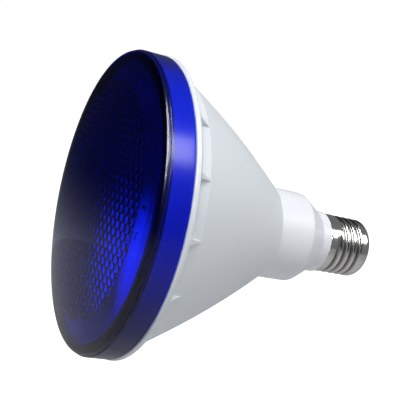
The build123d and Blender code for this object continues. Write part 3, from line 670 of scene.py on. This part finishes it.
# Room that polished surfaces see: its glow all over, low down and at the back
ROOM_RADIUS = 1.7
ROOM_TURN = np.radians((-180.0, 180.0))
ROOM_LIFT = np.radians((-13.5, 90.0))
ROOM_TURN_POINTS = 40
ROOM_LIFT_POINTS = 36
ROOM_COLOUR = rgb(0.95, 1.0, 1.05)
ROOM_GLOW = 0.012
HAZE_GLOW = 0.4
HAZE_DEPTH = 0.45
BACK_GLOW = 0.14
BACK_DEPTH = 0.8

CARD_SHARE_INSIDE = 0.4
BEAM_SOURCE_RADIUS = 0.006

# Camera: its lens and sensor in millimetres, its place and its three directions
FOCAL_LENGTH = 66.6
SENSOR_WIDTH = 36.0
CAMERA_PLACE = (0.2880, -0.2002, 0.0406)
CAMERA_RIGHT = (0.4098, 0.8786, 0.2452)
CAMERA_UP = (-0.2047, -0.1733, 0.9634)
CAMERA_BACK = (0.8889, -0.4450, 0.1088)


def stage_mesh(name, points, faces, material):
    """Piece of the studio, which isn't part of the lamp."""
    mesh = bpy.data.meshes.new(name)
    mesh.from_pydata(points, [], faces)
    mesh.materials.append(material)
    piece = bpy.data.objects.new(name, mesh)
    bpy.context.scene.collection.objects.link(piece)
    return piece


def seen_directly(sheet):
    """1 for rays from the camera, and for those that metal and glass send on before a matte hit."""
    polished = sheet.ray("Is Glossy Ray") | sheet.ray("Is Transmission Ray")
    return (sheet.ray("Is Camera Ray") | polished) * (sheet.ray("Diffuse Depth") < 0.5)


def from_inside(sheet):
    """1 for light that reaches what lies behind the lens."""
    return sheet.ray("Transmission Depth") > 0.5


def floor():
    """Pale floor; its glow toward the camera makes it white and leaves the shadow on it."""
    material, sheet = new_finish("floor_pale")
    bright, dim, dark = (
        sheet.node("BsdfDiffuse", None, {"Color": colour})
        for colour in (FLOOR_COLOUR, FLOOR_MIRRORED, FLOOR_INSIDE)
    )
    matte = sheet.mix(sheet.ray("Is Glossy Ray"), bright, dim)
    matte = sheet.mix(from_inside(sheet), matte, dark)
    share = seen_directly(sheet) * (sheet.ray("Is Camera Ray") | MIRRORED_GLOW)
    glow = sheet.node("Emission", None, {"Color": sheet.blend(share, BLACK, WHITE)})
    sheet.surface(sheet.node("AddShader", None, {0: matte, 1: glow}))
    signs = ((-1, -1), (1, -1), (1, 1), (-1, 1))
    corners = [(FLOOR_REACH * x, FLOOR_REACH * y, FLOOR_HEIGHT) for x, y in signs]
    stage_mesh("floor", corners, [(0, 1, 2, 3)], material)


def dark_room():
    """Dark room round the lamp that only polished surfaces see, lighter low down and at the back.

    It is a sphere from just under the horizon up: a grid of turn and lift angles.
    """
    material, sheet = new_finish("room_dark")
    place = sheet.place()
    haze = sheet.clamp(0.0 - sheet.along(place, "Z") / HAZE_DEPTH)
    back = sheet.clamp(sheet.along(place, "Y") / BACK_DEPTH)
    share = ROOM_GLOW + HAZE_GLOW * haze**3.0 + BACK_GLOW * back
    glow = sheet.blend(share, BLACK, ROOM_COLOUR)
    sheet.surface(sheet.node("Emission", None, {"Color": glow}))
    turn, lift = np.meshgrid(
        np.linspace(*ROOM_TURN, ROOM_TURN_POINTS),
        np.linspace(*ROOM_LIFT, ROOM_LIFT_POINTS),
        indexing="ij",
    )
    ways = [np.sin(turn) * np.cos(lift), -np.cos(turn) * np.cos(lift), np.sin(lift)]
    points = ROOM_RADIUS * np.stack(ways, -1).reshape(-1, 3)
    index = np.arange(turn.size).reshape(turn.shape)
    cells = [index[:-1, :-1], index[1:, :-1], index[1:, 1:], index[:-1, 1:]]
    room = stage_mesh("dark_room", points, np.stack(cells, -1).reshape(-1, 4), material)
    room.visible_camera = False
    room.visible_diffuse = False
    room.visible_shadow = False


def bright_card(name, middle, along, across, strength):
    """Window with its middle and its two half sides given, which only polished surfaces see.

    Reflections inside the lens show it fainter.
    """
    material, sheet = new_finish(name)
    full = sheet.node("Emission", None, {"Strength": strength})
    faint = sheet.node("Emission", None, {"Strength": CARD_SHARE_INSIDE * strength})
    sheet.surface(sheet.mix(from_inside(sheet), full, faint))
    middle, along, across = Vector(middle), Vector(along), Vector(across)
    corners = [
        middle - along - across,
        middle + along - across,
        middle + along + across,
        middle - along + across,
    ]
    card = stage_mesh(name, corners, [(0, 1, 2, 3)], material)
    card.visible_camera = False
    card.visible_diffuse = False
    card.visible_transmission = False
    card.visible_shadow = False


def hang(name, lamp, place, target, mirrored):
    """Hangs a lamp at a place, turned to a target; mirrored lets polished surfaces show it."""
    box = bpy.data.objects.new(name, lamp)
    box.location = place
    box.rotation_euler = (Vector(target) - Vector(place)).to_track_quat("-Z", "Y").to_euler()
    box.visible_camera = False
    box.visible_glossy = mirrored
    box.visible_transmission = mirrored
    bpy.context.scene.collection.objects.link(box)


def softbox(name, place, target, size, power, mirrored=False):
    """Rectangular soft lamp that looks at a target."""
    lamp = bpy.data.lights.new(name, "AREA")
    lamp.shape = "RECTANGLE"
    lamp.size, lamp.size_y = size
    lamp.energy = power
    hang(name, lamp, place, target, mirrored)


def beam(name, place, target, width, power):
    """Narrow soft beam with its full width in degrees."""
    lamp = bpy.data.lights.new(name, "SPOT")
    lamp.energy = power
    lamp.spot_size = np.radians(width)
    lamp.spot_blend = 1.0
    lamp.shadow_soft_size = BEAM_SOURCE_RADIUS
    hang(name, lamp, place, target, False)


def studio():
    """World, floor, room, windows and lamps."""
    world = bpy.data.worlds.new("studio_world")
    bpy.context.scene.world = world
    sheet = Sheet(world)
    ambient = sheet.blend(from_inside(sheet), AMBIENT, INNER_AMBIENT)
    colour = sheet.blend(seen_directly(sheet), ambient, WHITE)
    background = sheet.node("Background", None, {"Color": colour, "Strength": 1.0})
    sheet.node("OutputWorld", None, {"Surface": background})
    floor()
    dark_room()
    bright_card(
        "side_window",
        middle=(0.60, -0.08, 0.78),
        along=(0.0, 0.4, 0.0),
        across=(0.13, 0.0, -0.10),
        strength=9.0,
    )
    bright_card(
        "front_window",
        middle=(0.46, -0.42, 0.76),
        along=(0.36, -0.08, -0.25),
        across=(0.02, 0.22, -0.03),
        strength=14.0,
    )
    softbox(
        "right_window",
        place=(0.40, -0.42, 0.82),
        target=(0.0, -0.1, 0.0),
        size=(0.75, 0.32),
        power=7.0,
    )
    beam(
        "lens_beam",
        place=(-0.100, -0.7216, 0.745),
        target=(0.000, -0.0816, -0.023),
        width=2.2,
        power=1100.0,
    )
    softbox(
        "side_box",
        place=(0.43, 0.58, 0.56),
        target=(0.0, 0.0, 0.0),
        size=(0.3, 0.3),
        power=1.5,
        mirrored=True,
    )
    softbox(
        "top_fill",
        place=(0.45, 0.35, 1.1),
        target=(0.0, -0.05, 0.0),
        size=(1.0, 1.0),
        power=1.6,
    )


def camera():
    """Camera at the photograph's place, turned to its three directions."""
    data = bpy.data.cameras.new("camera")
    data.lens = FOCAL_LENGTH
    data.sensor_width = SENSOR_WIDTH
    data.clip_start = 0.01
    data.clip_end = 50.0
    eye = bpy.data.objects.new("camera", data)
    turn = Matrix((CAMERA_RIGHT, CAMERA_UP, CAMERA_BACK)).transposed().to_4x4()
    eye.matrix_world = Matrix.Translation(CAMERA_PLACE) @ turn
    bpy.context.scene.collection.objects.link(eye)
    bpy.context.scene.camera = eye


studio()
camera()
bpy.context.scene.view_settings.view_transform = "Standard"
